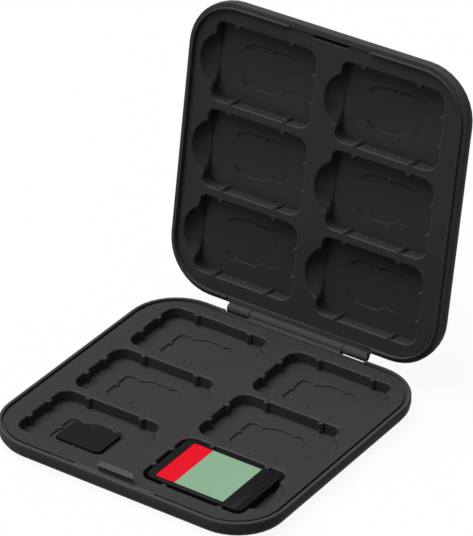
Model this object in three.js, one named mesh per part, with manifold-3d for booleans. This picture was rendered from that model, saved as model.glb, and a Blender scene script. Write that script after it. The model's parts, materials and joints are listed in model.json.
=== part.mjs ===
// Game card case: two moulded halves on a pinned hinge, a pocketed tray in each half,
// and two cards seated in the front row of the base.
// Millimetres, +Z up, X along the hinge, -Y to the latch. The origin is the middle of the base's underside.

import * as THREE from "three";
import { mergeVertices } from "three/addons/utils/BufferGeometryUtils.js";
import Module from "manifold-3d";

// Case halves
const CORNER_RADIUS = 15.4;
const BOTTOM_EDGE_RADIUS = 3.4;
const RIM_EDGE_RADIUS = 0.4;
const SHELL_FLOOR = 0.6;
const SEAT_CHAMFER = 0.9;
const RIM_WIDTH = 1.35;
const GROOVE_WIDTH = 0.6;
const GROOVE_DEPTH = 1;
const LIP_HEIGHT = 0.9;
const RIM_GAP = 0.3;
const OPEN_ANGLE = 98.75;

// Fits between pieces
const TRAY_SIDE_FIT = 0.1;
const TRAY_SEAT_FIT = 0.1;
const PIN_FIT = 0.1;
const KNUCKLE_GAP = 0.3;
const KNUCKLE_RELIEF = 0.12;
const LATCH_FIT = 0.2;
const LATCH_PLAY = 0.2;
const CARD_SEAT_FIT = 0.05;

// Hinge
const HINGE_SETBACK = 1.25;
const BARREL_RADIUS = 1.45;
const PIN_RADIUS = 0.65;
const CENTRE_KNUCKLE_LENGTH = 31.5;
const SIDE_KNUCKLE_LENGTH = 7.6;
const PIN_INSET = 0.3;
const ARM_DROP = 0.4;
const ARM_HEIGHT = 2.1;
const ARM_ROOT = 0.5;
const NOTCH_END_ROOM = 0.4;
const GROOVE_STOP = 0.6;
const LIP_STOP = 0.8;
const LEFT_NOTCH_DEPTH = 0.75;
const RIGHT_NOTCH_DEPTH = 1.1;

// Latch
const LATCH_LENGTH = 12.2;
const LATCH_HOLD = 0.2;
const LATCH_NOSE = 0.45;
const LATCH_STEM = 0.65;
const LATCH_NOSE_HEIGHT = 0.2;
const LATCH_LEAD_HEIGHT = 1.05;
const LATCH_UNDERCUT = 0.15;
const LATCH_TOP_WIDTH = 0.2;
const LATCH_CORNER = 0.9;
const GROOVE_BREAK = 26.4;
const LIP_BREAK = 26.8;
const CATCH_LEDGE = 1.1;
const CATCH_HEIGHT = 1.6;

// Tray and its grid of pockets
const TRAY_DROP = 0.3;
const TRAY_EDGE = 0.25;
const TRAY_SKIN = 0.4;
const COLUMNS = 2;
const ROWS = 3;
const COLUMN_WALL = 3.8;
const ROW_WALL = 2.9;
const RIB_SIDE_MARGIN = 8.12;
const SCOOP_SIDE_MARGIN = 4.08;
const FRONT_MARGIN = 6.77;
const REAR_MARGIN = 6.43;

// Pocket for a game card, about the middle of the card
const POCKET_SPARE_DEPTH = 0.2;
const RIB_END_ROOM = 0.1;
const SCOOP_END_ROOM = 1.4;
const SIDE_ROOM = 0.4;
const RIB_END_CORNER = 3.8;
const SCOOP_END_CORNER = 2.4;
const RIB_RADIUS = 0.95;
const RIB_HEIGHT = 1;
const END_RIB_OFFSET = 4.4;
const SIDE_RIBS = [-8.05, 10.1];
const SCOOP_OVERLAP = 4.2;
const SCOOP_RADIUS = 8.9;
const SCOOP_FLAT_RADIUS = 3.5;
const SCOOP_STEP = 0.1;

// Recess for a memory card in the pocket's floor
const RECESS_SHORTFALL = 0.1;
const NARROW_END_ROOM = 0.55;
const WIDE_END_ROOM = 1.3;
const RECESS_FRONT_ROOM = 0.25;
const RECESS_REAR_ROOM = 0.15;
const RECESS_STEP_ROOM = 0.15;
const RECESS_STEP_START = -2.9;
const RECESS_STEP_END = -1.3;
const RECESS_CORNER = 1.5;
const RECESS_CHAMFER_LENGTH = 1.8;
const RECESS_CHAMFER_WIDTH = 1.3;
const BUMP_RADIUS = 0.8;
const BUMP_HEIGHT = 0.75;
const END_BUMP = -0.6;
const FRONT_BUMP = -0.5;
const REAR_BUMP = 5;
const NARROW_REAR_BUMP = -4.5;
const RAMP_LENGTH = 2.4;
const RAMP_HALF_WIDTH = 4.8;

// Game card
const GAME_CARD_LENGTH = 31;
const GAME_CARD_WIDTH = 21;
const GAME_CARD_THICKNESS = 3.3;
const GAME_CARD_COLUMN = 1;
const GAME_CARD_ROW = 0;
const GAME_CARD_SHIFT_Y = 0.3;
const GAME_CARD_CORNER = 2;
const GAME_CARD_EDGE = 0.25;
const GAME_CARD_SEAM = 0.1;
const GAME_CARD_REAR_HEIGHT = 1.5;
const GAME_CARD_WALL = 1.2;
const GRIP_LENGTH = 4.2;
const GRIP_DROP = 0.5;
const GRIP_RIDGES = [1.3, 2.5];
const GRIP_RIDGE_WIDTH = 0.3;
const GRIP_RIDGE_HEIGHT = 0.15;
const LABEL_LENGTH = 22.4;
const LABEL_WIDTH = 19;
const LABEL_INSET = 2.7;
const LABEL_RECESS = 0.15;
const LABEL_THICKNESS = 0.12;
const LABEL_FIT = 0.1;
const LABEL_CORNER = 0.8;
const BOARD_THICKNESS = 0.8;
const BOARD_FIT = 0.3;
const WINDOW_LENGTH = 5;
const WINDOW_WIDTH = 15;
const WINDOW_INSET = 2;
const PAD_COUNT = 8;
const PAD_LENGTH = 4.2;
const PAD_WIDTH = 1.1;
const PAD_HEIGHT = 0.15;

// Memory card
const MEMORY_CARD_LENGTH = 15;
const MEMORY_CARD_WIDTH = 11;
const MEMORY_CARD_THICKNESS = 0.7;
const MEMORY_CARD_RIDGE = 0.3;
const MEMORY_CARD_RIDGE_LENGTH = 1.3;
const MEMORY_CARD_COLUMN = 0;
const MEMORY_CARD_ROW = 0;
const MEMORY_CARD_SHIFT_X = 0.3;
const MEMORY_CARD_SHIFT_Y = -0.1;
const MEMORY_CARD_STEP = 1.3;
const MEMORY_CARD_STEP_START = -1.6;
const MEMORY_CARD_STEP_END = -0.6;
const MEMORY_CARD_CORNER = 0.8;
const CONTACT_LENGTH = 3.6;
const CONTACT_WIDTH = 8.4;
const CONTACT_THICKNESS = 0.25;
const CONTACT_INSET = 0.9;
const CONTACT_FIT = 0.1;
const CONTACT_CUTS = 7;
const CONTACT_CUT_WIDTH = 0.3;
const CONTACT_CUT_DEPTH = 0.1;

// Facets on the curves
const CORNER_STEPS = 10;
const EDGE_STEPS = 4;
const RIM_STEPS = 2;
const POCKET_STEPS = 5;
const RIB_STEPS = 6;
const BUMP_STEPS = 4;
const SCOOP_STEPS = 6;
const SCOOP_SIDES = 36;
const ROUND_SIDES = 24;

// Sizes that follow from the ones above
const SEAT_INSET = RIM_WIDTH + GROOVE_WIDTH - TRAY_SIDE_FIT;
const TRAY_INSET = RIM_WIDTH + GROOVE_WIDTH;
const LIP_INSET = RIM_WIDTH + TRAY_SIDE_FIT;
const POCKET_DEPTH = GAME_CARD_THICKNESS + POCKET_SPARE_DEPTH;
const POCKET_RIB_END = -(GAME_CARD_LENGTH / 2 + RIB_END_ROOM + RIB_HEIGHT);
const POCKET_SCOOP_END = GAME_CARD_LENGTH / 2 + SCOOP_END_ROOM;
const POCKET_HALF_WIDTH = GAME_CARD_WIDTH / 2 + SIDE_ROOM + RIB_HEIGHT;
const SCOOP_CENTRE = POCKET_SCOOP_END - SCOOP_OVERLAP;
const POCKET_REACH = SCOOP_CENTRE + SCOOP_RADIUS - POCKET_RIB_END;
const RECESS_DEPTH = MEMORY_CARD_THICKNESS - RECESS_SHORTFALL;
const RECESS_NARROW_END = -(MEMORY_CARD_LENGTH / 2 + NARROW_END_ROOM + BUMP_HEIGHT);
const RECESS_WIDE_END = MEMORY_CARD_LENGTH / 2 + WIDE_END_ROOM;
const RECESS_FRONT = -(MEMORY_CARD_WIDTH / 2 + RECESS_FRONT_ROOM + BUMP_HEIGHT);
const RECESS_REAR = MEMORY_CARD_WIDTH / 2 + RECESS_REAR_ROOM + BUMP_HEIGHT;
const RECESS_NARROW_REAR = MEMORY_CARD_WIDTH / 2 - MEMORY_CARD_STEP + RECESS_STEP_ROOM + BUMP_HEIGHT;
const COLUMN_PITCH = POCKET_REACH + COLUMN_WALL;
const ROW_PITCH = 2 * POCKET_HALF_WIDTH + ROW_WALL;
const CASE_WIDTH = RIB_SIDE_MARGIN + (COLUMNS - 1) * COLUMN_PITCH + POCKET_REACH + SCOOP_SIDE_MARGIN;
const CASE_DEPTH = FRONT_MARGIN + (ROWS - 1) * ROW_PITCH + 2 * POCKET_HALF_WIDTH + REAR_MARGIN;
const TRAY_BOTTOM = SHELL_FLOOR + TRAY_SEAT_FIT;
const RECESS_FLOOR = TRAY_BOTTOM + TRAY_SKIN;
const POCKET_FLOOR = RECESS_FLOOR + RECESS_DEPTH;
const TRAY_TOP = POCKET_FLOOR + POCKET_DEPTH;
const HALF_HEIGHT = TRAY_TOP + TRAY_DROP;
const FRONT_FACE = -CASE_DEPTH / 2;
const REAR_FACE = CASE_DEPTH / 2;
const AXIS_Y = REAR_FACE + HINGE_SETBACK;
const AXIS_Z = HALF_HEIGHT + RIM_GAP / 2;
const SIDE_KNUCKLE_START = CENTRE_KNUCKLE_LENGTH / 2 + KNUCKLE_GAP;
const SIDE_KNUCKLE_END = SIDE_KNUCKLE_START + SIDE_KNUCKLE_LENGTH;
const NOTCH_END = SIDE_KNUCKLE_END + NOTCH_END_ROOM;
const LATCH_NOSE_FRONT = FRONT_FACE + SEAT_INSET - LATCH_HOLD;
const LATCH_STEM_FRONT = LATCH_NOSE_FRONT + LATCH_NOSE;
const LATCH_BACK = LATCH_STEM_FRONT + LATCH_STEM;
const LATCH_NOSE_BOTTOM = HALF_HEIGHT + RIM_GAP + CATCH_LEDGE + LATCH_PLAY;
const LATCH_NOSE_TOP = LATCH_NOSE_BOTTOM + LATCH_NOSE_HEIGHT;
const LATCH_TOP = LATCH_NOSE_TOP + LATCH_LEAD_HEIGHT;
// Extra reach of a cutting or joining shape past the face it goes through
const OVERCUT = 2;

const wasm = await Module();
wasm.setup();

// A closed geometry as a solid that can be joined and cut
function solid(geometry) {
  const plain = geometry.clone();
  plain.deleteAttribute("normal");
  plain.deleteAttribute("uv");
  const merged = mergeVertices(plain, 1e-5);
  const corners = merged.index.array;
  const triangles = [];
  for (let i = 0; i < corners.length; i += 3) {
    const [a, b, c] = corners.slice(i, i + 3);
    if (a !== b && b !== c && c !== a) {
      triangles.push(a, b, c);
    }
  }
  return new wasm.Manifold(new wasm.Mesh({
    numProp: 3,
    vertProperties: new Float32Array(merged.attributes.position.array),
    triVerts: new Uint32Array(triangles),
  }));
}

// A solid back as a geometry
function geometryOf(body) {
  const mesh = body.getMesh();
  const geometry = new THREE.BufferGeometry();
  geometry.setAttribute("position", new THREE.BufferAttribute(new Float32Array(mesh.vertProperties), 3));
  geometry.setIndex(new THREE.BufferAttribute(new Uint32Array(mesh.triVerts), 1));
  geometry.computeVertexNormals();
  return geometry;
}

// Points along an arc, angles in radians
function arc(x, y, radius, from, to, steps) {
  return Array.from({ length: steps + 1 }, (_, i) => {
    const angle = from + (to - from) * i / steps;
    return new THREE.Vector2(x + radius * Math.cos(angle), y + radius * Math.sin(angle));
  });
}

// A rectangle with four round corners, counter-clockwise
function roundedRectangle(halfX, halfY, radius, steps) {
  const quarter = Math.PI / 2;
  const x = halfX - radius;
  const y = halfY - radius;
  return new THREE.Shape([
    ...arc(x, -y, radius, -quarter, 0, steps),
    ...arc(x, y, radius, 0, quarter, steps),
    ...arc(-x, y, radius, quarter, 2 * quarter, steps),
    ...arc(-x, -y, radius, 2 * quarter, 3 * quarter, steps),
  ]);
}

// The case's outline moved in from its outer wall
function caseOutline(inset) {
  return roundedRectangle(
    CASE_WIDTH / 2 - inset, CASE_DEPTH / 2 - inset, CORNER_RADIUS - inset, CORNER_STEPS);
}

// An outline raised from one height to another
function prism(shape, low, high) {
  const geometry = new THREE.ExtrudeGeometry(shape, { depth: high - low, bevelEnabled: false });
  return geometry.translate(0, 0, low);
}

// The same with both end edges rounded or bevelled inside the outline
function softPrism(shape, low, high, radius, steps) {
  const geometry = new THREE.ExtrudeGeometry(shape, {
    depth: high - low - 2 * radius,
    bevelThickness: radius,
    bevelSize: radius,
    bevelOffset: -radius,
    bevelSegments: steps,
  });
  return geometry.translate(0, 0, low + radius);
}

// A box between two corners
function block(x0, x1, y0, y1, z0, z1) {
  const geometry = new THREE.BoxGeometry(x1 - x0, y1 - y0, z1 - z0);
  return geometry.translate((x0 + x1) / 2, (y0 + y1) / 2, (z0 + z1) / 2);
}

// A profile of y and z points swept along X
function sweptAlongX(points, x0, x1) {
  const shape = new THREE.Shape(points.map(([y, z]) => new THREE.Vector2(y, z)));
  const geometry = new THREE.ExtrudeGeometry(shape, { depth: x1 - x0, bevelEnabled: false });
  geometry.rotateZ(Math.PI / 2);
  geometry.rotateY(Math.PI / 2);
  return geometry.translate(x0, 0, 0);
}

// A round bar along the hinge axis
function hingeBar(radius, x0, x1) {
  const geometry = new THREE.CylinderGeometry(radius, radius, x1 - x0, ROUND_SIDES);
  geometry.rotateZ(Math.PI / 2);
  return geometry.translate((x0 + x1) / 2, AXIS_Y, AXIS_Z);
}

// Outer body of a half: a large radius round the outer face and a small one round the rim
function outerBody() {
  const below = softPrism(
    caseOutline(0), 0, HALF_HEIGHT + 2 * BOTTOM_EDGE_RADIUS, BOTTOM_EDGE_RADIUS, EDGE_STEPS);
  const above = softPrism(
    caseOutline(0), -HALF_HEIGHT, HALF_HEIGHT, RIM_EDGE_RADIUS, RIM_STEPS);
  return solid(below).intersect(solid(above));
}

// Room for the tray, bevelled at the bottom so that the wall stays even round the outer edge
function traySeat() {
  return solid(softPrism(
    caseOutline(SEAT_INSET), SHELL_FLOOR, HALF_HEIGHT + LIP_HEIGHT + OVERCUT, SEAT_CHAMFER, 1));
}

// Hinge knuckle: a barrel on a sloped arm that grows out of the rear wall
function knuckle(x0, x1) {
  const wall = REAR_FACE - ARM_ROOT;
  const arm = sweptAlongX([
    [wall, HALF_HEIGHT - ARM_HEIGHT],
    [REAR_FACE, HALF_HEIGHT - ARM_HEIGHT],
    [AXIS_Y, AXIS_Z - BARREL_RADIUS],
    [AXIS_Y, HALF_HEIGHT - ARM_DROP],
    [wall, HALF_HEIGHT - ARM_DROP],
  ], x0, x1);
  return solid(hingeBar(BARREL_RADIUS, x0, x1)).add(solid(arm));
}

function bore(x0, x1) {
  return solid(hingeBar(PIN_RADIUS + PIN_FIT, x0 - OVERCUT, x1 + OVERCUT));
}

// Square edge of the rim along the hinge, where the rim is not rounded
function hingeLand() {
  return solid(block(
    -NOTCH_END, NOTCH_END, REAR_FACE - RIM_WIDTH, REAR_FACE, HALF_HEIGHT - RIM_WIDTH, HALF_HEIGHT));
}

// Outline of the latch hook seen from above, with room round it
function latchOutline(room) {
  const x = LATCH_LENGTH / 2 + room;
  const back = LATCH_BACK + room;
  return new THREE.Shape([
    new THREE.Vector2(-x, FRONT_FACE),
    new THREE.Vector2(x, FRONT_FACE),
    new THREE.Vector2(x, back - LATCH_CORNER),
    new THREE.Vector2(x - LATCH_CORNER, back),
    new THREE.Vector2(LATCH_CORNER - x, back),
    new THREE.Vector2(-x, back - LATCH_CORNER),
  ]);
}

// Latch hook: a stem on a solid foot, with a nose that faces the front and a sloped lead above it
function latchHook() {
  const foot = outerBody().intersect(solid(prism(latchOutline(0), SHELL_FLOOR / 2, TRAY_TOP)));
  const profile = solid(sweptAlongX([
    [LATCH_STEM_FRONT, SHELL_FLOOR],
    [LATCH_BACK, SHELL_FLOOR],
    [LATCH_BACK, LATCH_TOP],
    [LATCH_BACK - LATCH_TOP_WIDTH, LATCH_TOP],
    [LATCH_NOSE_FRONT, LATCH_NOSE_TOP],
    [LATCH_NOSE_FRONT, LATCH_NOSE_BOTTOM],
    [LATCH_STEM_FRONT, LATCH_NOSE_BOTTOM - LATCH_UNDERCUT],
  ], -LATCH_LENGTH / 2, LATCH_LENGTH / 2));
  return foot.add(profile.intersect(solid(prism(latchOutline(0), 0, LATCH_TOP + OVERCUT))));
}

// Base shell: groove round the tray, broken at the latch hook and along the hinge
function baseShell() {
  const groove = solid(prism(caseOutline(RIM_WIDTH), HALF_HEIGHT - GROOVE_DEPTH, HALF_HEIGHT + OVERCUT));
  const land = solid(block(
    -GROOVE_BREAK / 2, GROOVE_BREAK / 2,
    FRONT_FACE, FRONT_FACE + TRAY_INSET + OVERCUT,
    0, HALF_HEIGHT + 2 * OVERCUT));
  const rearLand = solid(block(
    -NOTCH_END - GROOVE_STOP, NOTCH_END + GROOVE_STOP,
    REAR_FACE - TRAY_INSET - OVERCUT, REAR_FACE,
    0, HALF_HEIGHT + 2 * OVERCUT));
  let shell = outerBody().add(hingeLand());
  shell = shell.subtract(traySeat()).subtract(groove.subtract(land).subtract(rearLand)).add(latchHook());

  const centre = CENTRE_KNUCKLE_LENGTH / 2;
  shell = shell.add(knuckle(-centre, centre)).subtract(bore(-centre, centre));
  const notches = [[-NOTCH_END, -centre, LEFT_NOTCH_DEPTH], [centre, NOTCH_END, RIGHT_NOTCH_DEPTH]];
  for (const [x0, x1, depth] of notches) {
    const notch = block(
      x0, x1, REAR_FACE - RIM_WIDTH, REAR_FACE + OVERCUT, HALF_HEIGHT - depth, HALF_HEIGHT + OVERCUT);
    shell = shell.subtract(solid(notch));
  }
  return geometryOf(shell);
}

// Lid shell, drawn rim up like the base: a lip that fills the base's groove and stops where it stops,
// a slot whose ledge catches the hook, and the two side knuckles
function lidShell() {
  const lip = solid(prism(caseOutline(LIP_INSET), HALF_HEIGHT / 2, HALF_HEIGHT + LIP_HEIGHT));
  const lipBreak = solid(block(
    -LIP_BREAK / 2, LIP_BREAK / 2,
    FRONT_FACE, FRONT_FACE + TRAY_INSET + OVERCUT,
    HALF_HEIGHT, HALF_HEIGHT + LIP_HEIGHT + OVERCUT));
  const rearBreak = solid(block(
    -NOTCH_END - LIP_STOP, NOTCH_END + LIP_STOP,
    REAR_FACE - TRAY_INSET - OVERCUT, REAR_FACE,
    HALF_HEIGHT, HALF_HEIGHT + LIP_HEIGHT + OVERCUT));
  const slotTop = HALF_HEIGHT - CATCH_LEDGE;
  const slot = solid(block(
    -LATCH_LENGTH / 2 - LATCH_FIT, LATCH_LENGTH / 2 + LATCH_FIT,
    LATCH_NOSE_FRONT - LATCH_FIT, FRONT_FACE + TRAY_INSET,
    slotTop - CATCH_HEIGHT, slotTop));
  let shell = outerBody().add(hingeLand()).add(lip);
  shell = shell.subtract(traySeat()).subtract(lipBreak).subtract(rearBreak).subtract(slot);

  shell = shell.add(knuckle(SIDE_KNUCKLE_START, SIDE_KNUCKLE_END));
  shell = shell.add(knuckle(-SIDE_KNUCKLE_END, -SIDE_KNUCKLE_START));
  const relief = hingeBar(BARREL_RADIUS + KNUCKLE_RELIEF, -SIDE_KNUCKLE_START, SIDE_KNUCKLE_START);
  return geometryOf(shell.subtract(solid(relief)).subtract(bore(-SIDE_KNUCKLE_END, SIDE_KNUCKLE_END)));
}

// A rib or bump with a round nose on a wall of an outline that runs counter-clockwise.
// The angle points from the wall into the outline. A rib taller than its radius has straight sides.
function wallRib(x, y, inward, radius, height, steps) {
  const rise = height - radius;
  const half = Math.acos(Math.min(Math.max(-rise / radius, 0), 1));
  const nose = arc(
    x + rise * Math.cos(inward), y + rise * Math.sin(inward), radius, inward + half, inward - half, steps);
  if (rise <= 0) {
    return nose;
  }
  const foot = (angle) => new THREE.Vector2(x + radius * Math.cos(angle), y + radius * Math.sin(angle));
  return [foot(inward + half), ...nose, foot(inward - half)];
}

// Outline of a game card's pocket: ribs on both long walls and on the end away from the scoop
function pocketOutline() {
  const quarter = Math.PI / 2;
  const y = POCKET_HALF_WIDTH;
  const rib = (x0, y0, inward) => wallRib(x0, y0, inward, RIB_RADIUS, RIB_HEIGHT, RIB_STEPS);
  const near = POCKET_RIB_END + RIB_END_CORNER;
  const far = POCKET_SCOOP_END - SCOOP_END_CORNER;
  return new THREE.Shape([
    ...SIDE_RIBS.flatMap((x) => rib(x, -y, quarter)),
    ...arc(far, SCOOP_END_CORNER - y, SCOOP_END_CORNER, -quarter, 0, POCKET_STEPS),
    ...arc(far, y - SCOOP_END_CORNER, SCOOP_END_CORNER, 0, quarter, POCKET_STEPS),
    ...SIDE_RIBS.toReversed().flatMap((x) => rib(x, y, -quarter)),
    ...arc(near, y - RIB_END_CORNER, RIB_END_CORNER, quarter, 2 * quarter, POCKET_STEPS),
    ...rib(POCKET_RIB_END, END_RIB_OFFSET, 0),
    ...rib(POCKET_RIB_END, -END_RIB_OFFSET, 0),
    ...arc(near, RIB_END_CORNER - y, RIB_END_CORNER, 2 * quarter, 3 * quarter, POCKET_STEPS),
  ]);
}

// Outline of a memory card's recess: narrower at the contact end, with a bump on each wall
function recessOutline() {
  const quarter = Math.PI / 2;
  const bump = (x0, y0, inward) => wallRib(x0, y0, inward, BUMP_RADIUS, BUMP_HEIGHT, BUMP_STEPS);
  const r = RECESS_CORNER;
  return new THREE.Shape([
    ...bump(FRONT_BUMP, RECESS_FRONT, quarter),
    new THREE.Vector2(RECESS_WIDE_END - RECESS_CHAMFER_LENGTH, RECESS_FRONT),
    new THREE.Vector2(RECESS_WIDE_END, RECESS_FRONT + RECESS_CHAMFER_WIDTH),
    new THREE.Vector2(RECESS_WIDE_END, RECESS_REAR - RECESS_CHAMFER_WIDTH),
    new THREE.Vector2(RECESS_WIDE_END - RECESS_CHAMFER_LENGTH, RECESS_REAR),
    ...bump(REAR_BUMP, RECESS_REAR, -quarter),
    new THREE.Vector2(RECESS_STEP_END, RECESS_REAR),
    new THREE.Vector2(RECESS_STEP_START, RECESS_NARROW_REAR),
    ...bump(NARROW_REAR_BUMP, RECESS_NARROW_REAR, -quarter),
    ...arc(RECESS_NARROW_END + r, RECESS_NARROW_REAR - r, r, quarter, 2 * quarter, BUMP_STEPS),
    ...bump(RECESS_NARROW_END, END_BUMP, 0),
    ...arc(RECESS_NARROW_END + r, RECESS_FRONT + r, r, 2 * quarter, 3 * quarter, BUMP_STEPS),
  ]);
}

// Finger scoop: a round bowl with a small flat just above the pocket's floor and a curved side
function scoopDish() {
  const depth = POCKET_DEPTH - SCOOP_STEP;
  const curve = SCOOP_RADIUS - SCOOP_FLAT_RADIUS;
  const side = Array.from({ length: SCOOP_STEPS + 1 }, (_, i) => {
    const angle = Math.PI / 2 * i / SCOOP_STEPS;
    return new THREE.Vector2(SCOOP_FLAT_RADIUS + curve * Math.sin(angle), -depth * Math.cos(angle));
  });
  const profile = [
    new THREE.Vector2(0, -depth),
    ...side,
    new THREE.Vector2(SCOOP_RADIUS, OVERCUT),
    new THREE.Vector2(0, OVERCUT),
  ];
  const geometry = new THREE.LatheGeometry(profile, SCOOP_SIDES);
  geometry.rotateX(Math.PI / 2);
  return geometry.translate(SCOOP_CENTRE, 0, TRAY_TOP);
}

// Everything that one pocket takes out of the tray
function pocketCutter() {
  const pocket = solid(prism(pocketOutline(), POCKET_FLOOR, TRAY_TOP + OVERCUT));
  const recess = solid(prism(recessOutline(), RECESS_FLOOR, POCKET_FLOOR + RECESS_DEPTH));
  const start = RECESS_WIDE_END - RECESS_CHAMFER_LENGTH;
  const end = RECESS_WIDE_END + RAMP_LENGTH;
  const slope = new THREE.Shape([
    new THREE.Vector2(start, RECESS_FLOOR),
    new THREE.Vector2(RECESS_WIDE_END, RECESS_FLOOR),
    new THREE.Vector2(end, POCKET_FLOOR),
    new THREE.Vector2(end, POCKET_FLOOR + RECESS_DEPTH),
    new THREE.Vector2(start, POCKET_FLOOR + RECESS_DEPTH),
  ]);
  const ramp = new THREE.ExtrudeGeometry(slope, { depth: 2 * RAMP_HALF_WIDTH, bevelEnabled: false });
  ramp.rotateX(Math.PI / 2);
  ramp.translate(0, RAMP_HALF_WIDTH, 0);
  return pocket.add(solid(scoopDish())).add(recess).add(solid(ramp));
}

// Middle of a pocket in the grid, counted from the left and from the front
function pocketPlace(column, row) {
  return [
    RIB_SIDE_MARGIN - CASE_WIDTH / 2 - POCKET_RIB_END + column * COLUMN_PITCH,
    FRONT_FACE + FRONT_MARGIN + POCKET_HALF_WIDTH + row * ROW_PITCH,
  ];
}

// Tray: one moulding for both halves, with a gap at the front edge for the latch hook
function tray() {
  const bottom = softPrism(
    caseOutline(TRAY_INSET), TRAY_BOTTOM, TRAY_TOP + 2 * SEAT_CHAMFER, SEAT_CHAMFER, 1);
  const top = softPrism(caseOutline(TRAY_INSET), -TRAY_TOP, TRAY_TOP, TRAY_EDGE, 1);
  let body = solid(bottom).intersect(solid(top));
  const cutter = pocketCutter();
  for (let column = 0; column < COLUMNS; column += 1) {
    for (let row = 0; row < ROWS; row += 1) {
      const [x, y] = pocketPlace(column, row);
      body = body.subtract(cutter.translate([x, y, 0]));
    }
  }
  const gap = prism(latchOutline(LATCH_FIT), 0, HALF_HEIGHT + OVERCUT);
  return geometryOf(body.subtract(solid(gap)));
}

// Plain outline of the game card
function gameCardOutline(inset) {
  return roundedRectangle(
    GAME_CARD_LENGTH / 2 - inset, GAME_CARD_WIDTH / 2 - inset, GAME_CARD_CORNER - inset, POCKET_STEPS);
}

// Room for the circuit board, shared by the two halves of the game card
const boardHalfLength = GAME_CARD_LENGTH / 2 - GAME_CARD_WALL;
const boardHalfWidth = GAME_CARD_WIDTH / 2 - GAME_CARD_WALL;
const boardBottom = GAME_CARD_REAR_HEIGHT - BOARD_THICKNESS / 2;
const boardTop = boardBottom + BOARD_THICKNESS;

function boardRoom() {
  return solid(block(
    -boardHalfLength, boardHalfLength,
    -boardHalfWidth, boardHalfWidth,
    boardBottom - BOARD_FIT, boardTop + BOARD_FIT));
}

// What the grip end takes off the game card: a slope that leaves two low ridges across the card
function gripCutter() {
  const end = GAME_CARD_LENGTH / 2;
  const height = (x) => GAME_CARD_THICKNESS - GRIP_DROP * (x - end + GRIP_LENGTH) / GRIP_LENGTH;
  const ridges = GRIP_RIDGES.toReversed().flatMap((inset) => {
    const x0 = end - inset - GRIP_RIDGE_WIDTH / 2;
    const x1 = x0 + GRIP_RIDGE_WIDTH;
    return [
      new THREE.Vector2(x0, height(x0)),
      new THREE.Vector2(x0, height(x0) + GRIP_RIDGE_HEIGHT),
      new THREE.Vector2(x1, height(x1) + GRIP_RIDGE_HEIGHT),
      new THREE.Vector2(x1, height(x1)),
    ];
  });
  const slope = new THREE.Shape([
    new THREE.Vector2(end - GRIP_LENGTH, GAME_CARD_THICKNESS),
    ...ridges,
    new THREE.Vector2(end + OVERCUT, height(end + OVERCUT)),
    new THREE.Vector2(end + OVERCUT, GAME_CARD_THICKNESS + OVERCUT),
    new THREE.Vector2(end - GRIP_LENGTH, GAME_CARD_THICKNESS + OVERCUT),
  ]);
  const grip = new THREE.ExtrudeGeometry(slope, { depth: GAME_CARD_WIDTH + OVERCUT, bevelEnabled: false });
  grip.rotateX(Math.PI / 2);
  return solid(grip.translate(0, (GAME_CARD_WIDTH + OVERCUT) / 2, 0));
}

// Front half of the game card: label recess and a grip end that slopes down
function gameCardFrontShell() {
  const low = GAME_CARD_REAR_HEIGHT + GAME_CARD_SEAM;
  const high = GAME_CARD_THICKNESS + OVERCUT;
  const whole = solid(softPrism(gameCardOutline(0), 0, GAME_CARD_THICKNESS, GAME_CARD_EDGE, 1));
  const half = solid(prism(gameCardOutline(-OVERCUT), low, high));
  const label = solid(prism(labelOutline(0), GAME_CARD_THICKNESS - LABEL_RECESS, high));
  return geometryOf(
    whole.intersect(half).subtract(label).subtract(gripCutter()).subtract(boardRoom()));
}

// Rear half of the game card: a window under the contact pads
function gameCardRearShell() {
  const whole = solid(softPrism(gameCardOutline(0), 0, GAME_CARD_THICKNESS, GAME_CARD_EDGE, 1));
  const half = solid(prism(gameCardOutline(-OVERCUT), -OVERCUT, GAME_CARD_REAR_HEIGHT));
  const windowStart = WINDOW_INSET - GAME_CARD_LENGTH / 2;
  const window = solid(block(
    windowStart, windowStart + WINDOW_LENGTH, -WINDOW_WIDTH / 2, WINDOW_WIDTH / 2, -OVERCUT, boardTop));
  return geometryOf(whole.intersect(half).subtract(boardRoom()).subtract(window));
}

// Circuit board with contact pads on its underside
function gameCardBoard() {
  let board = solid(block(
    BOARD_FIT - boardHalfLength, boardHalfLength - BOARD_FIT,
    BOARD_FIT - boardHalfWidth, boardHalfWidth - BOARD_FIT,
    boardBottom, boardTop));
  const pitch = WINDOW_WIDTH / PAD_COUNT;
  const middle = WINDOW_INSET - GAME_CARD_LENGTH / 2 + WINDOW_LENGTH / 2;
  for (let i = 0; i < PAD_COUNT; i += 1) {
    const y = (i - (PAD_COUNT - 1) / 2) * pitch;
    board = board.add(solid(block(
      middle - PAD_LENGTH / 2, middle + PAD_LENGTH / 2,
      y - PAD_WIDTH / 2, y + PAD_WIDTH / 2,
      boardBottom - PAD_HEIGHT, boardTop)));
  }
  return geometryOf(board);
}

// Outline of the label, nearer the end away from the grip
function labelOutline(inset) {
  const outline = roundedRectangle(
    LABEL_LENGTH / 2 - inset, LABEL_WIDTH / 2 - inset, LABEL_CORNER - inset, BUMP_STEPS);
  const middle = LABEL_INSET + LABEL_LENGTH / 2 - GAME_CARD_LENGTH / 2;
  return new THREE.Shape(outline.getPoints().map((point) => new THREE.Vector2(point.x + middle, point.y)));
}

function gameCardLabel() {
  const low = GAME_CARD_THICKNESS - LABEL_RECESS;
  return prism(labelOutline(LABEL_FIT), low, low + LABEL_THICKNESS);
}

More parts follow.
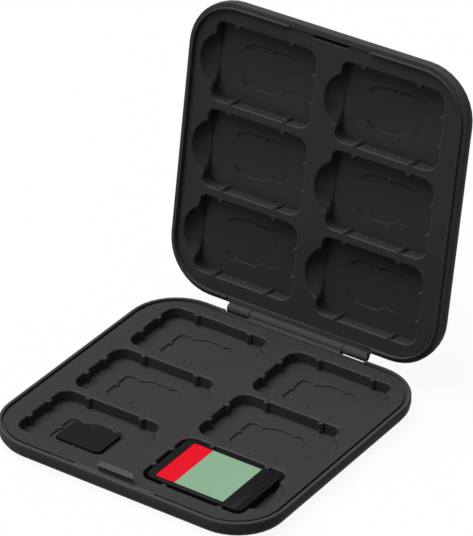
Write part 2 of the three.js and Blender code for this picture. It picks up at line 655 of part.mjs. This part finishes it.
// Memory card: narrower at the contact end, with a grip ridge across the wide end
function memoryCardOutline() {
  const quarter = Math.PI / 2;
  const x = MEMORY_CARD_LENGTH / 2;
  const y = MEMORY_CARD_WIDTH / 2;
  const r = MEMORY_CARD_CORNER;
  return new THREE.Shape([
    ...arc(x - r, r - y, r, -quarter, 0, BUMP_STEPS),
    ...arc(x - r, y - r, r, 0, quarter, BUMP_STEPS),
    new THREE.Vector2(MEMORY_CARD_STEP_END, y),
    new THREE.Vector2(MEMORY_CARD_STEP_START, y - MEMORY_CARD_STEP),
    ...arc(r - x, y - MEMORY_CARD_STEP - r, r, quarter, 2 * quarter, BUMP_STEPS),
    ...arc(r - x, r - y, r, 2 * quarter, 3 * quarter, BUMP_STEPS),
  ]);
}

const contactStart = CONTACT_INSET - MEMORY_CARD_LENGTH / 2;
const contactMiddle = -MEMORY_CARD_STEP / 2;

function memoryCardBody() {
  const x = MEMORY_CARD_LENGTH / 2;
  const plate = solid(prism(memoryCardOutline(), 0, MEMORY_CARD_THICKNESS));
  const tall = solid(prism(memoryCardOutline(), 0, MEMORY_CARD_THICKNESS + MEMORY_CARD_RIDGE));
  const ridge = solid(block(
    x - MEMORY_CARD_RIDGE_LENGTH, x + OVERCUT,
    -MEMORY_CARD_WIDTH, MEMORY_CARD_WIDTH,
    0, MEMORY_CARD_THICKNESS + OVERCUT));
  const room = solid(block(
    contactStart - CONTACT_FIT, contactStart + CONTACT_LENGTH + CONTACT_FIT,
    contactMiddle - CONTACT_WIDTH / 2 - CONTACT_FIT, contactMiddle + CONTACT_WIDTH / 2 + CONTACT_FIT,
    -OVERCUT, CONTACT_THICKNESS + CONTACT_FIT));
  return geometryOf(plate.add(tall.intersect(ridge)).subtract(room));
}

// Contact board under the memory card, cut into fingers by shallow slots
function memoryCardContacts() {
  let board = solid(block(
    contactStart, contactStart + CONTACT_LENGTH,
    contactMiddle - CONTACT_WIDTH / 2, contactMiddle + CONTACT_WIDTH / 2,
    0, CONTACT_THICKNESS));
  const pitch = CONTACT_WIDTH / (CONTACT_CUTS + 1);
  for (let i = 0; i < CONTACT_CUTS; i += 1) {
    const y = contactMiddle + (i - (CONTACT_CUTS - 1) / 2) * pitch;
    board = board.subtract(solid(block(
      contactStart - OVERCUT, contactStart + CONTACT_LENGTH + OVERCUT,
      y - CONTACT_CUT_WIDTH / 2, y + CONTACT_CUT_WIDTH / 2,
      -OVERCUT, CONTACT_CUT_DEPTH)));
  }
  return geometryOf(board);
}

function named(name, geometry, color, roughness, metalness) {
  const material = new THREE.MeshStandardMaterial({ color, roughness, metalness });
  const mesh = new THREE.Mesh(geometry, material);
  mesh.name = name;
  return mesh;
}

const gameCardCase = new THREE.Group();
const base = new THREE.Group();
const lid = new THREE.Group();
const lidHalf = new THREE.Group();
const gameCard = new THREE.Group();
const memoryCard = new THREE.Group();

base.add(named("base_shell", baseShell(), 0x3a3a3b, 0.6, 0));
base.add(named("base_tray", tray(), 0x3d3d3e, 0.7, 0));
const pinEnd = SIDE_KNUCKLE_END - PIN_INSET;
base.add(named("hinge_pin", hingeBar(PIN_RADIUS, -pinEnd, pinEnd), 0x9a9a9c, 0.35, 1));

// The lid is drawn like the base, turned over onto it and then opened about the hinge axis
lidHalf.add(named("lid_shell", lidShell(), 0x343435, 0.6, 0));
lidHalf.add(named("lid_tray", tray(), 0x2e2e2f, 0.7, 0));
lidHalf.rotation.y = Math.PI;
lidHalf.position.set(0, -AXIS_Y, AXIS_Z);
lid.add(lidHalf);
lid.position.set(0, AXIS_Y, AXIS_Z);
lid.rotation.x = THREE.MathUtils.degToRad(-OPEN_ANGLE);

gameCard.add(named("game_card_front_shell", gameCardFrontShell(), 0x1e1e1f, 0.5, 0));
gameCard.add(named("game_card_rear_shell", gameCardRearShell(), 0x1e1e1f, 0.5, 0));
gameCard.add(named("game_card_board", gameCardBoard(), 0x1f5a34, 0.5, 0));
gameCard.add(named("game_card_label", gameCardLabel(), 0x8bb192, 0.5, 0));
const [gameCardX, gameCardY] = pocketPlace(GAME_CARD_COLUMN, GAME_CARD_ROW);
gameCard.position.set(gameCardX, gameCardY + GAME_CARD_SHIFT_Y, POCKET_FLOOR + CARD_SEAT_FIT);

memoryCard.add(named("memory_card_body", memoryCardBody(), 0x191919, 0.45, 0));
memoryCard.add(named("memory_card_contacts", memoryCardContacts(), 0xc9a24a, 0.35, 1));
const [memoryCardX, memoryCardY] = pocketPlace(MEMORY_CARD_COLUMN, MEMORY_CARD_ROW);
memoryCard.position.set(
  memoryCardX + MEMORY_CARD_SHIFT_X, memoryCardY + MEMORY_CARD_SHIFT_Y, RECESS_FLOOR + CARD_SEAT_FIT);

gameCardCase.add(base, lid, gameCard, memoryCard);

export default gameCardCase;
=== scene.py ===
import json
import math

import bmesh
import bpy
from mathutils import Matrix, Vector


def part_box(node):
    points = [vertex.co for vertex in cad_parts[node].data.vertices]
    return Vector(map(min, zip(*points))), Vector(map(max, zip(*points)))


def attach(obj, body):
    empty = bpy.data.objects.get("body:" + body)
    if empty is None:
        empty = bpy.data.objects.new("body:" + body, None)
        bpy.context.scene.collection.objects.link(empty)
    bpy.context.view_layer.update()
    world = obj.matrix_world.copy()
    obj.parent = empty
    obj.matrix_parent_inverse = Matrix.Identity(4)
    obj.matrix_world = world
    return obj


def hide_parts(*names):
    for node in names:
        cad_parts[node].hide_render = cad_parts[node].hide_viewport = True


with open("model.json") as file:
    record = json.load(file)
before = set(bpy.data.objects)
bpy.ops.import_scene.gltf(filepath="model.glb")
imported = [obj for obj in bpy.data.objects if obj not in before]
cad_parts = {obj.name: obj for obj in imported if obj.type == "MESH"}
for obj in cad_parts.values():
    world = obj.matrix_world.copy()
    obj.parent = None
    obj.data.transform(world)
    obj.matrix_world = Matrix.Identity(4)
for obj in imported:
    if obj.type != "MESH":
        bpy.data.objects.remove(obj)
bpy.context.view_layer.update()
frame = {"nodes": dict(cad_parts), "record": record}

# Base shell
# The lower half of the case, moulded in one shot in charcoal plastic: wall, rim, groove for the lid's
# lip, latch hook at the front and long centre knuckle at the back. Its edges leave the mould rounded.

same_point = 1e-7
near = 1e-5
flat_angle = math.radians(0.5)
sharp_angle = math.radians(30)
smooth_angle = math.radians(35)


def work_on(piece):
    """Makes the piece the only one that the next operators act on"""
    bpy.ops.object.select_all(action="DESELECT")
    piece.select_set(True)
    bpy.context.view_layer.objects.active = piece


def new_piece(name, mesh):
    """A new piece with its own copy of a mesh"""
    piece = bpy.data.objects.new(name, mesh.copy())
    bpy.context.scene.collection.objects.link(piece)
    return piece


def moulding_from(node, name):
    """A new piece with the node's solid as its start: corners merged and flat faces joined"""
    piece = new_piece(name, frame["nodes"][node].data)
    work_on(piece)
    bpy.ops.object.mode_set(mode="EDIT")
    bpy.ops.mesh.select_mode(type="EDGE")
    bpy.ops.mesh.select_all(action="SELECT")
    bpy.ops.mesh.remove_doubles(threshold=same_point)
    bpy.ops.mesh.dissolve_limited(angle_limit=flat_angle)
    bpy.ops.object.mode_set(mode="OBJECT")
    return piece


def round_edges(piece, width, segments, chosen, least=sharp_angle):
    """Rounds the piece's edges that are sharper than the least angle and that the chosen test picks"""
    work_on(piece)
    bpy.ops.object.mode_set(mode="EDIT")
    bpy.ops.mesh.select_mode(type="EDGE")
    bpy.ops.mesh.select_all(action="DESELECT")
    shape = bmesh.from_edit_mesh(piece.data)
    for edge in shape.edges:
        if len(edge.link_faces) == 2 and edge.calc_face_angle() > least:
            if chosen(edge.verts[0].co, edge.verts[1].co):
                edge.select = True
    shape.select_flush_mode()
    bmesh.update_edit_mesh(piece.data)
    bpy.ops.mesh.bevel(offset=width, segments=segments, profile=0.5, clamp_overlap=False)
    bpy.ops.object.mode_set(mode="OBJECT")


def finish_surface(piece, material):
    """Smooth shading that keeps flat faces flat, and the piece's finish"""
    work_on(piece)
    bpy.ops.object.shade_smooth_by_angle(angle=smooth_angle)
    even = piece.modifiers.new("even_normals", "WEIGHTED_NORMAL")
    even.keep_sharp = True
    bpy.ops.object.modifier_apply(modifier=even.name)
    piece.data.materials.clear()
    piece.data.materials.append(material)


def new_finish(name):
    """A new material made of nodes"""
    material = bpy.data.materials.new(name)
    material.use_nodes = True
    return material


def grain_group():
    """Fine moulded grain: a slow drift of tone, a speckle of roughness and a height for the bump"""
    group = bpy.data.node_groups.new("moulded_grain", "ShaderNodeTree")
    for label in ("Grain Scale", "Drift Scale", "Least Roughness", "Most Roughness"):
        group.interface.new_socket(label, in_out="INPUT", socket_type="NodeSocketFloat")
    for label in ("Dark Tone", "Light Tone"):
        group.interface.new_socket(label, in_out="INPUT", socket_type="NodeSocketColor")
    group.interface.new_socket("Tone", in_out="OUTPUT", socket_type="NodeSocketColor")
    for label in ("Roughness", "Height"):
        group.interface.new_socket(label, in_out="OUTPUT", socket_type="NodeSocketFloat")
    nodes = group.nodes
    links = group.links
    given = nodes.new("NodeGroupInput")
    result = nodes.new("NodeGroupOutput")
    place = nodes.new("ShaderNodeTexCoord")
    grain = nodes.new("ShaderNodeTexNoise")
    grain.inputs["Detail"].default_value = 3
    drift = nodes.new("ShaderNodeTexNoise")
    drift.inputs["Detail"].default_value = 4
    both = nodes.new("ShaderNodeMix")
    both.data_type = "FLOAT"
    both.inputs["Factor"].default_value = 0.4
    tone = nodes.new("ShaderNodeMix")
    tone.data_type = "RGBA"
    roughness = nodes.new("ShaderNodeMapRange")
    links.new(place.outputs["Object"], grain.inputs["Vector"])
    links.new(place.outputs["Object"], drift.inputs["Vector"])
    links.new(given.outputs["Grain Scale"], grain.inputs["Scale"])
    links.new(given.outputs["Drift Scale"], drift.inputs["Scale"])
    links.new(drift.outputs["Fac"], both.inputs["A"])
    links.new(grain.outputs["Fac"], both.inputs["B"])
    links.new(both.outputs["Result"], tone.inputs["Factor"])
    links.new(given.outputs["Dark Tone"], tone.inputs["A"])
    links.new(given.outputs["Light Tone"], tone.inputs["B"])
    links.new(grain.outputs["Fac"], roughness.inputs["Value"])
    links.new(given.outputs["Least Roughness"], roughness.inputs["To Min"])
    links.new(given.outputs["Most Roughness"], roughness.inputs["To Max"])
    links.new(tone.outputs["Result"], result.inputs["Tone"])
    links.new(roughness.outputs["Result"], result.inputs["Roughness"])
    links.new(grain.outputs["Fac"], result.inputs["Height"])
    return group


moulded_grain = grain_group()


def add_grain(material, dark, light, roughness, grain_scale, drift_scale):
    """Places the moulded grain in a material, with that material's own tones, roughness and scales"""
    grain = material.node_tree.nodes.new("ShaderNodeGroup")
    grain.node_tree = moulded_grain
    grain.inputs["Grain Scale"].default_value = grain_scale
    grain.inputs["Drift Scale"].default_value = drift_scale
    grain.inputs["Least Roughness"].default_value = roughness[0]
    grain.inputs["Most Roughness"].default_value = roughness[1]
    grain.inputs["Dark Tone"].default_value = (*dark, 1)
    grain.inputs["Light Tone"].default_value = (*light, 1)
    return grain


plastic_drift = 70
grain_height = 0.00004


def grained(name, dark, light, roughness, grain_scale, bump, specular):
    """A finish with the moulded grain in its tone, its roughness and its relief"""
    material = new_finish(name)
    nodes = material.node_tree.nodes
    links = material.node_tree.links
    shader = nodes["Principled BSDF"]
    shader.inputs["Specular IOR Level"].default_value = specular
    grain = add_grain(material, dark, light, roughness, grain_scale, plastic_drift)
    relief = nodes.new("ShaderNodeBump")
    relief.inputs["Strength"].default_value = bump
    relief.inputs["Distance"].default_value = grain_height
    links.new(grain.outputs["Tone"], shader.inputs["Base Color"])
    links.new(grain.outputs["Roughness"], shader.inputs["Roughness"])
    links.new(grain.outputs["Height"], relief.inputs["Height"])
    links.new(relief.outputs["Normal"], shader.inputs["Normal"])
    return material


case_grain = 2600
charcoal_plastic = grained(
    "charcoal_plastic", dark=(0.064, 0.064, 0.065), light=(0.083, 0.083, 0.084),
    roughness=(0.5, 0.62), grain_scale=case_grain, bump=0.25, specular=0.04)

# The upward faces of the latch hook get a smoother, lighter copy of the charcoal plastic. The lighter
# tone is a painted highlight where the hook's top catches the light.
hook_highlight_plastic = grained(
    "hook_highlight_plastic", dark=(0.092, 0.092, 0.093), light=(0.116, 0.116, 0.117),
    roughness=(0.36, 0.46), grain_scale=case_grain, bump=0.2, specular=0.15)
hook_highlight_slope = 0.3

case_half = Vector((0.0462, 0.0452))
case_corner = 0.0154
rim_top = 0.0055
rim_width = 0.00135
rim_edge = 0.00025
groove_floor = 0.0045
groove_draft = 0.0003
notch_end = 0.02405
notch_floor = 0.00475
notch_lift = 0.00008
latch_edge = 0.00008
latch_clear = 0.0001


def from_corner(point):
    """A point's place beyond the middles of the case's corner rounds, along X and Y"""
    return Vector((
        math.copysign(max(abs(point.x) - case_half.x + case_corner, 0), point.x),
        math.copysign(max(abs(point.y) - case_half.y + case_corner, 0), point.y)))


def wall_inset(point):
    """How far a point lies inside the case's outer wall"""
    return case_corner - from_corner(point).length


def on_rim_edge(a, b):
    """Whether an edge runs along the rim's inner side, on the groove"""
    on_top = min(a.z, b.z) > rim_top - near
    return on_top and all(abs(wall_inset(p) - rim_width + groove_draft) < near for p in (a, b))


def on_latch(a, b):
    """Whether an edge belongs to the latch hook, clear above the rim"""
    return min(a.z, b.z) > rim_top + latch_clear and max(a.y, b.y) < 0


base_shell = moulding_from("base_shell", "base_shell_moulding")
for vertex in base_shell.data.vertices:
    place = vertex.co
    by_hinge = place.y > 0 and abs(place.x) < notch_end + near
    on_groove = place.z > groove_floor - near and abs(wall_inset(place) - rim_width) < near
    if on_groove and not by_hinge:
        place.xy += from_corner(place).normalized() * groove_draft
    if by_hinge and place.x < 0 and abs(place.z - notch_floor) < near:
        place.z += notch_lift
round_edges(base_shell, rim_edge, segments=3, chosen=on_rim_edge)
round_edges(base_shell, latch_edge, segments=2, chosen=on_latch)
finish_surface(base_shell, charcoal_plastic)
# Painted highlight: the hook's faces that point upward take the lighter plastic.
base_shell.data.materials.append(hook_highlight_plastic)
for face in base_shell.data.polygons:
    on_hook = face.center.z > rim_top + latch_edge and face.center.y < 0
    if on_hook and face.normal.z > hook_highlight_slope:
        face.material_index = 1
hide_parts("base_shell")
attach(base_shell, "base")

# Base tray
# The insert that fills the base: six pockets with ribbed walls, finger scoops and memory card recesses.
# Charcoal plastic of a second moulding, bonded into the shell; its pocket edges are rounded.

tray_plastic = grained(
    "tray_plastic", dark=(0.043, 0.043, 0.044), light=(0.057, 0.057, 0.058),
    roughness=(0.32, 0.42), grain_scale=case_grain, bump=0.3, specular=0.08)

# The rounded pocket edges that face partly upward get a lighter copy of the tray plastic, a painted
# highlight, except at the ends with the finger scoops.
edge_highlight_plastic = grained(
    "edge_highlight_plastic", dark=(0.064, 0.064, 0.065), light=(0.082, 0.082, 0.083),
    roughness=(0.32, 0.42), grain_scale=case_grain, bump=0.3, specular=0.08)
highlight_slope = (0.45, 0.9)
scoop_side = -0.35

tray_top = 0.0052
pocket_floor = 0.0017
pocket_edge = 0.0005
pocket_columns = (-0.02148, 0.02052)
pocket_rows = (-0.02653, 0.00017, 0.02687)
recess_edge = 0.00042
recess_reach = Vector((0.0095, 0.0075))
ramp_start = 0.0086
tray_border = 0.00195
border_bevel = 0.00025
border_bevel_left = 0.00003
rear_seam = 0.00007
millimetres = 1000
upright_slope = 0.1
plain_corners = 8


def on_pocket_edge(a, b):
    """Whether an edge is on the tray's top face, well inside its outer border"""
    on_top = min(a.z, b.z) > tray_top - near
    return on_top and wall_inset((a + b) / 2) > tray_border + 2 * border_bevel


def on_recess_rim(point):
    """Whether a point is on the upper edge of a memory card's recess, clear of the ramp at its end"""
    along = min((point.x - middle for middle in pocket_columns), key=abs)
    across = min((point.y - middle for middle in pocket_rows), key=abs)
    level = abs(point.z - pocket_floor) < near
    return level and -recess_reach.x < along < ramp_start and abs(across) < recess_reach.y


def on_recess_edge(a, b):
    """Whether an edge runs along the upper edge of a memory card's recess"""
    return on_recess_rim(a) and on_recess_rim(b)


def split_cut_walls(piece):
    """Splits the upright walls with many corners into triangles, in millimetres for exact cuts"""
    piece.data.transform(Matrix.Scale(millimetres, 4))
    work_on(piece)
    bpy.ops.object.mode_set(mode="EDIT")
    bpy.ops.mesh.select_mode(type="FACE")
    bpy.ops.mesh.select_all(action="DESELECT")
    shape = bmesh.from_edit_mesh(piece.data)
    for face in shape.faces:
        face.select = abs(face.normal.z) < upright_slope and len(face.verts) > plain_corners
    bmesh.update_edit_mesh(piece.data)
    bpy.ops.mesh.quads_convert_to_tris(ngon_method="BEAUTY")
    bpy.ops.object.mode_set(mode="OBJECT")
    piece.data.transform(Matrix.Scale(1 / millimetres, 4))


def is_edge_highlight(face):
    """Whether a face of the base's tray is on a rounded pocket edge that faces partly upward, where a
    highlight is painted
    """
    on_round = highlight_slope[0] < face.normal.z < highlight_slope[1]
    return on_round and face.center.z > tray_top - pocket_edge and face.normal.x > scoop_side


def paint_edge_highlight(piece, faces):
    """Gives the listed faces of a finished tray the lighter plastic of the painted edge highlight"""
    piece.data.materials.append(edge_highlight_plastic)
    for index in faces:
        piece.data.polygons[index].material_index = 1


base_tray = moulding_from("base_tray", "base_tray_moulding")
for vertex in base_tray.data.vertices:
    place = vertex.co
    on_border = abs(wall_inset(place) - tray_border) < near
    if on_border and abs(place.z - tray_top + border_bevel) < near:
        place.z = tray_top - border_bevel_left
    if place.y > case_half.y - tray_border - near:
        place.y += rear_seam
round_edges(base_tray, pocket_edge, segments=4, chosen=on_pocket_edge)
round_edges(base_tray, recess_edge, segments=4, chosen=on_recess_edge)
split_cut_walls(base_tray)
finish_surface(base_tray, tray_plastic)
# Painted highlight: the rounded pocket edges that face partly upward take the lighter plastic.
edge_highlight_faces = [face.index for face in base_tray.data.polygons if is_edge_highlight(face)]
paint_edge_highlight(base_tray, edge_highlight_faces)
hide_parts("base_tray")
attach(base_tray, "base")

# Hinge pin
# The straight pin of drawn steel that joins the three knuckles. It is cut to length with rounded ends
# and pressed in, a little short of the knuckles' outer ends.

pin_edge = 0.00015
pin_end_angle = math.radians(60)

drawn_steel = new_finish("drawn_steel")
steel_nodes = drawn_steel.node_tree.nodes
steel_links = drawn_steel.node_tree.links
steel_shader = steel_nodes["Principled BSDF"]
steel_shader.inputs["Metallic"].default_value = 1
steel_place = steel_nodes.new("ShaderNodeTexCoord")
steel_stretch = steel_nodes.new("ShaderNodeMapping")
steel_stretch.inputs["Scale"].default_value = (60, 9000, 9000)
steel_lines = steel_nodes.new("ShaderNodeTexNoise")
steel_lines.inputs["Scale"].default_value = 1
steel_tone = steel_nodes.new("ShaderNodeMix")
steel_tone.data_type = "RGBA"
steel_tone.inputs["A"].default_value = (0.42, 0.42, 0.43, 1)
steel_tone.inputs["B"].default_value = (0.62, 0.62, 0.63, 1)
steel_roughness = steel_nodes.new("ShaderNodeMapRange")
steel_roughness.inputs["To Min"].default_value = 0.25
steel_roughness.inputs["To Max"].default_value = 0.45
steel_links.new(steel_place.outputs["Object"], steel_stretch.inputs["Vector"])
steel_links.new(steel_stretch.outputs["Vector"], steel_lines.inputs["Vector"])
steel_links.new(steel_lines.outputs["Fac"], steel_tone.inputs["Factor"])
steel_links.new(steel_lines.outputs["Fac"], steel_roughness.inputs["Value"])
steel_links.new(steel_tone.outputs["Result"], steel_shader.inputs["Base Color"])
steel_links.new(steel_roughness.outputs["Result"], steel_shader.inputs["Roughness"])


def on_pin_end(a, b):
    """Whether an edge runs round the pin, as at its ends"""
    return abs(a.x - b.x) < near


hinge_pin = moulding_from("hinge_pin", "hinge_pin_drawn")
round_edges(hinge_pin, pin_edge, segments=2, chosen=on_pin_end, least=pin_end_angle)
finish_surface(hinge_pin, drawn_steel)
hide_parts("hinge_pin")
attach(hinge_pin, "base")

# Lid shell
# The upper half of the case, of the same charcoal plastic, with the lip that fills the base's groove,
# the slot for the latch hook and the two side knuckles. Its edges are rounded as it lies closed.

lip_edge = 0.00014
lip_insets = (0.0014, 0.0019)
hinge_rim_edge = 0.0004
hinge = frame["record"]["behaviour"]["joints"][0]
hinge_place = Vector(hinge["pos_m"])
lid_angle = math.radians(hinge["range_deg"][0])
turned_over = Matrix.Translation((0, 0, 2 * hinge_place.z)) @ Matrix.Diagonal((-1, 1, -1, 1))
to_hinge = Matrix.Translation(hinge_place)
lid_from_base = to_hinge @ Matrix.Rotation(lid_angle, 4, "X") @ to_hinge.inverted() @ turned_over


def along_lip(a, b):
    """Whether both ends of an edge lie as far inside the outer wall as the lip"""
    return all(lip_insets[0] < wall_inset(p) < lip_insets[1] for p in (a, b))


def on_lip(a, b):
    """Whether an edge runs along the top of the lip"""
    return min(a.z, b.z) > rim_top + near and abs(a.z - b.z) < near and along_lip(a, b)


def on_hinge_rim(a, b):
    """Whether an edge runs along the rim's inner side at the hinge, where the lip stops"""
    level = max(abs(a.z - rim_top), abs(b.z - rim_top)) < near
    return level and min(a.y, b.y) > 0 and along_lip(a, b)


lid_shell = moulding_from("lid_shell", "lid_shell_moulding")
lid_shell.data.transform(lid_from_base.inverted())
round_edges(lid_shell, lip_edge, segments=3, chosen=on_lip)
round_edges(lid_shell, hinge_rim_edge, segments=4, chosen=on_hinge_rim)
lid_shell.data.transform(lid_from_base)
finish_surface(lid_shell, charcoal_plastic)
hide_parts("lid_shell")
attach(lid_shell, "lid")

# Lid tray
# The same insert as in the base, of the same plastic, turned over and bonded into the lid.
# It opens with the lid about the hinge pin.

lid_tray = new_piece("lid_tray_moulding", base_tray.data)
lid_tray.data.transform(lid_from_base)
finish_surface(lid_tray, tray_plastic)
# The lid's tray takes the same painted edge highlight on the same faces.
paint_edge_highlight(lid_tray, edge_highlight_faces)
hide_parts("lid_tray")
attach(lid_tray, "lid")

# Game card
# Two thin halves of black plastic closed round a circuit board, with a sloped and ridged grip end.
# The halves are welded along their edge and leave a fine seam.

card_plastic = grained(
    "card_plastic", dark=(0.008, 0.008, 0.0083), light=(0.012, 0.012, 0.0125),
    roughness=(0.4, 0.55), grain_scale=3200, bump=0.15, specular=0.15)

label_low, label_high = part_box("game_card_label")
label_corner = 0.0008
label_fit = 0.0001


def square_grip_corners(piece, room):
    """Makes the label's two corners at the grip end square, on the film or on the recess round it"""
    end = label_high[0] + room
    for side in (label_low[1] - room, label_high[1] + room):
        for vertex in piece.data.vertices:
            high = vertex.co.z > label_low[2] - label_fit
            across = abs(vertex.co.y - side)
            along = end - vertex.co.x
            if high and -near < along < label_corner and across < label_corner:
                vertex.co.xy = (end, side)
    work_on(piece)
    bpy.ops.object.mode_set(mode="EDIT")
    bpy.ops.mesh.select_all(action="SELECT")
    bpy.ops.mesh.remove_doubles(threshold=same_point)
    bpy.ops.object.mode_set(mode="OBJECT")


card_front = moulding_from("game_card_front_shell", "game_card_front")
square_grip_corners(card_front, label_fit)
finish_surface(card_front, card_plastic)
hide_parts("game_card_front_shell")
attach(card_front, "base")

card_rear = moulding_from("game_card_rear_shell", "game_card_rear")
finish_surface(card_rear, card_plastic)
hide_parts("game_card_rear_shell")
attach(card_rear, "base")

# Circuit board
# The laminate between the card's halves, green under its solder mask, with its pads facing down.
# It is laid in before the halves are welded.

board_laminate = grained(
    "board_laminate", dark=(0.012, 0.085, 0.035), light=(0.02, 0.13, 0.05),
    roughness=(0.3, 0.42), grain_scale=1800, bump=0.1, specular=0.5)

card_board = moulding_from("game_card_board", "game_card_circuit")
finish_surface(card_board, board_laminate)
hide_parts("game_card_board")
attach(card_board, "base")

# Label
# A printed film, stuck into the recess in the card's front half: a red band at one end and pale green
# over the rest.

red_width = 0.0062
film_roughness = (0.5, 0.65)
film_grain = 4200
film_drift = 40

label_print = new_finish("label_print")
label_nodes = label_print.node_tree.nodes
label_links = label_print.node_tree.links
label_shader = label_nodes["Principled BSDF"]
label_shader.inputs["Specular IOR Level"].default_value = 0.12
label_place = label_nodes.new("ShaderNodeTexCoord")
label_axes = label_nodes.new("ShaderNodeSeparateXYZ")
label_band = label_nodes.new("ShaderNodeMath")
label_band.operation = "GREATER_THAN"
label_band.inputs[1].default_value = label_low[0] + red_width
green_print = add_grain(
    label_print, dark=(0.242, 0.415, 0.273), light=(0.292, 0.485, 0.323),
    roughness=film_roughness, grain_scale=film_grain, drift_scale=film_drift)
red_print = add_grain(
    label_print, dark=(0.78, 0.003, 0.016), light=(0.88, 0.005, 0.022),
    roughness=film_roughness, grain_scale=film_grain, drift_scale=film_drift)
label_tone = label_nodes.new("ShaderNodeMix")
label_tone.data_type = "RGBA"
label_links.new(label_place.outputs["Object"], label_axes.inputs["Vector"])
label_links.new(label_axes.outputs["X"], label_band.inputs[0])
label_links.new(label_band.outputs["Value"], label_tone.inputs["Factor"])
label_links.new(red_print.outputs["Tone"], label_tone.inputs["A"])
label_links.new(green_print.outputs["Tone"], label_tone.inputs["B"])
label_links.new(label_tone.outputs["Result"], label_shader.inputs["Base Color"])
label_links.new(green_print.outputs["Roughness"], label_shader.inputs["Roughness"])

label = moulding_from("game_card_label", "game_card_label_film")
square_grip_corners(label, 0)
finish_surface(label, label_print)
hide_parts("game_card_label")
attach(label, "base")

# Memory card
# A thin stepped body of satin black plastic with a grip ridge, moulded in one piece, and gold-plated
# contacts let in underneath.

memory_plastic = grained(
    "memory_plastic", dark=(0.009, 0.009, 0.0093), light=(0.014, 0.014, 0.0145),
    roughness=(0.4, 0.52), grain_scale=3600, bump=0.12, specular=0.15)

memory_body = moulding_from("memory_card_body", "memory_card_moulding")
finish_surface(memory_body, memory_plastic)
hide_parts("memory_card_body")
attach(memory_body, "base")

gold_plate = new_finish("gold_plate")
gold_links = gold_plate.node_tree.links
gold_shader = gold_plate.node_tree.nodes["Principled BSDF"]
gold_shader.inputs["Metallic"].default_value = 1
gold_grain = add_grain(
    gold_plate, dark=(0.55, 0.36, 0.09), light=(0.68, 0.46, 0.14),
    roughness=(0.22, 0.4), grain_scale=5000, drift_scale=300)
gold_links.new(gold_grain.outputs["Tone"], gold_shader.inputs["Base Color"])
gold_links.new(gold_grain.outputs["Roughness"], gold_shader.inputs["Roughness"])

memory_contacts = moulding_from("memory_card_contacts", "memory_card_contact_plate")
finish_surface(memory_contacts, gold_plate)
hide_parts("memory_card_contacts")
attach(memory_contacts, "base")

# Floor, light and camera
# A plain pale studio floor that keeps a faint shadow, a broad softbox above, to the left and in front,
# and a dim surround.

floor_size = 8
floor_drop = 0.0002

bpy.ops.object.select_all(action="DESELECT")
bpy.ops.mesh.primitive_plane_add(size=floor_size, location=(0, 0, -floor_drop))
floor = bpy.context.object
floor.name = "floor"
floor_white = new_finish("floor_white")
floor_nodes = floor_white.node_tree.nodes
floor_links = floor_white.node_tree.links
floor_nodes.remove(floor_nodes["Principled BSDF"])
floor_paper = floor_nodes.new("ShaderNodeBsdfDiffuse")
floor_paper.inputs["Color"].default_value = (0.95, 0.95, 0.95, 1)
floor_bounce = floor_nodes.new("ShaderNodeBsdfDiffuse")
floor_bounce.inputs["Color"].default_value = (0.08, 0.08, 0.08, 1)
floor_glow = floor_nodes.new("ShaderNodeEmission")
floor_glow.inputs["Color"].default_value = (1, 1, 1, 1)
floor_glow.inputs["Strength"].default_value = 1
floor_seen = floor_nodes.new("ShaderNodeMixShader")
floor_seen.inputs["Fac"].default_value = 0.92
floor_rays = floor_nodes.new("ShaderNodeLightPath")
floor_direct = floor_nodes.new("ShaderNodeMath")
floor_direct.operation = "MAXIMUM"
floor_through = floor_nodes.new("ShaderNodeMath")
floor_through.operation = "MAXIMUM"
floor_choice = floor_nodes.new("ShaderNodeMixShader")
floor_links.new(floor_paper.outputs["BSDF"], floor_seen.inputs[1])
floor_links.new(floor_glow.outputs["Emission"], floor_seen.inputs[2])
floor_links.new(floor_rays.outputs["Is Camera Ray"], floor_direct.inputs[0])
floor_links.new(floor_rays.outputs["Is Glossy Ray"], floor_direct.inputs[1])
floor_links.new(floor_direct.outputs["Value"], floor_through.inputs[0])
floor_links.new(floor_rays.outputs["Is Transmission Ray"], floor_through.inputs[1])
floor_links.new(floor_through.outputs["Value"], floor_choice.inputs["Fac"])
floor_links.new(floor_bounce.outputs["BSDF"], floor_choice.inputs[1])
floor_links.new(floor_seen.outputs["Shader"], floor_choice.inputs[2])
floor_links.new(floor_choice.outputs["Shader"], floor_nodes["Material Output"].inputs["Surface"])
floor.data.materials.append(floor_white)

studio = bpy.data.worlds.new("studio")
bpy.context.scene.world = studio
studio.use_nodes = True
surround = studio.node_tree.nodes["Background"]
surround.inputs["Color"].default_value = (1, 1, 1, 1)
surround.inputs["Strength"].default_value = 0.17

key_aim = Vector((0.40, 0.15, -1))
key = bpy.data.lights.new("overhead_softbox", "SUN")
key.energy = 2.85
key.angle = math.radians(60)
key_lamp = bpy.data.objects.new("overhead_softbox", key)
key_lamp.rotation_euler = key_aim.to_track_quat("-Z", "Y").to_euler()
bpy.context.scene.collection.objects.link(key_lamp)

lens = bpy.data.cameras.new("camera")
lens.lens = 268.44369
lens.sensor_width = 36
lens.clip_end = 20
camera = bpy.data.objects.new("camera", lens)
camera.location = (0.524993, -0.768831, 0.617493)
camera.rotation_euler = (math.radians(58.65061), math.radians(-0.48105), math.radians(34.11941))
bpy.context.scene.collection.objects.link(camera)
bpy.context.scene.camera = camera
bpy.context.scene.view_settings.view_transform = "Standard"
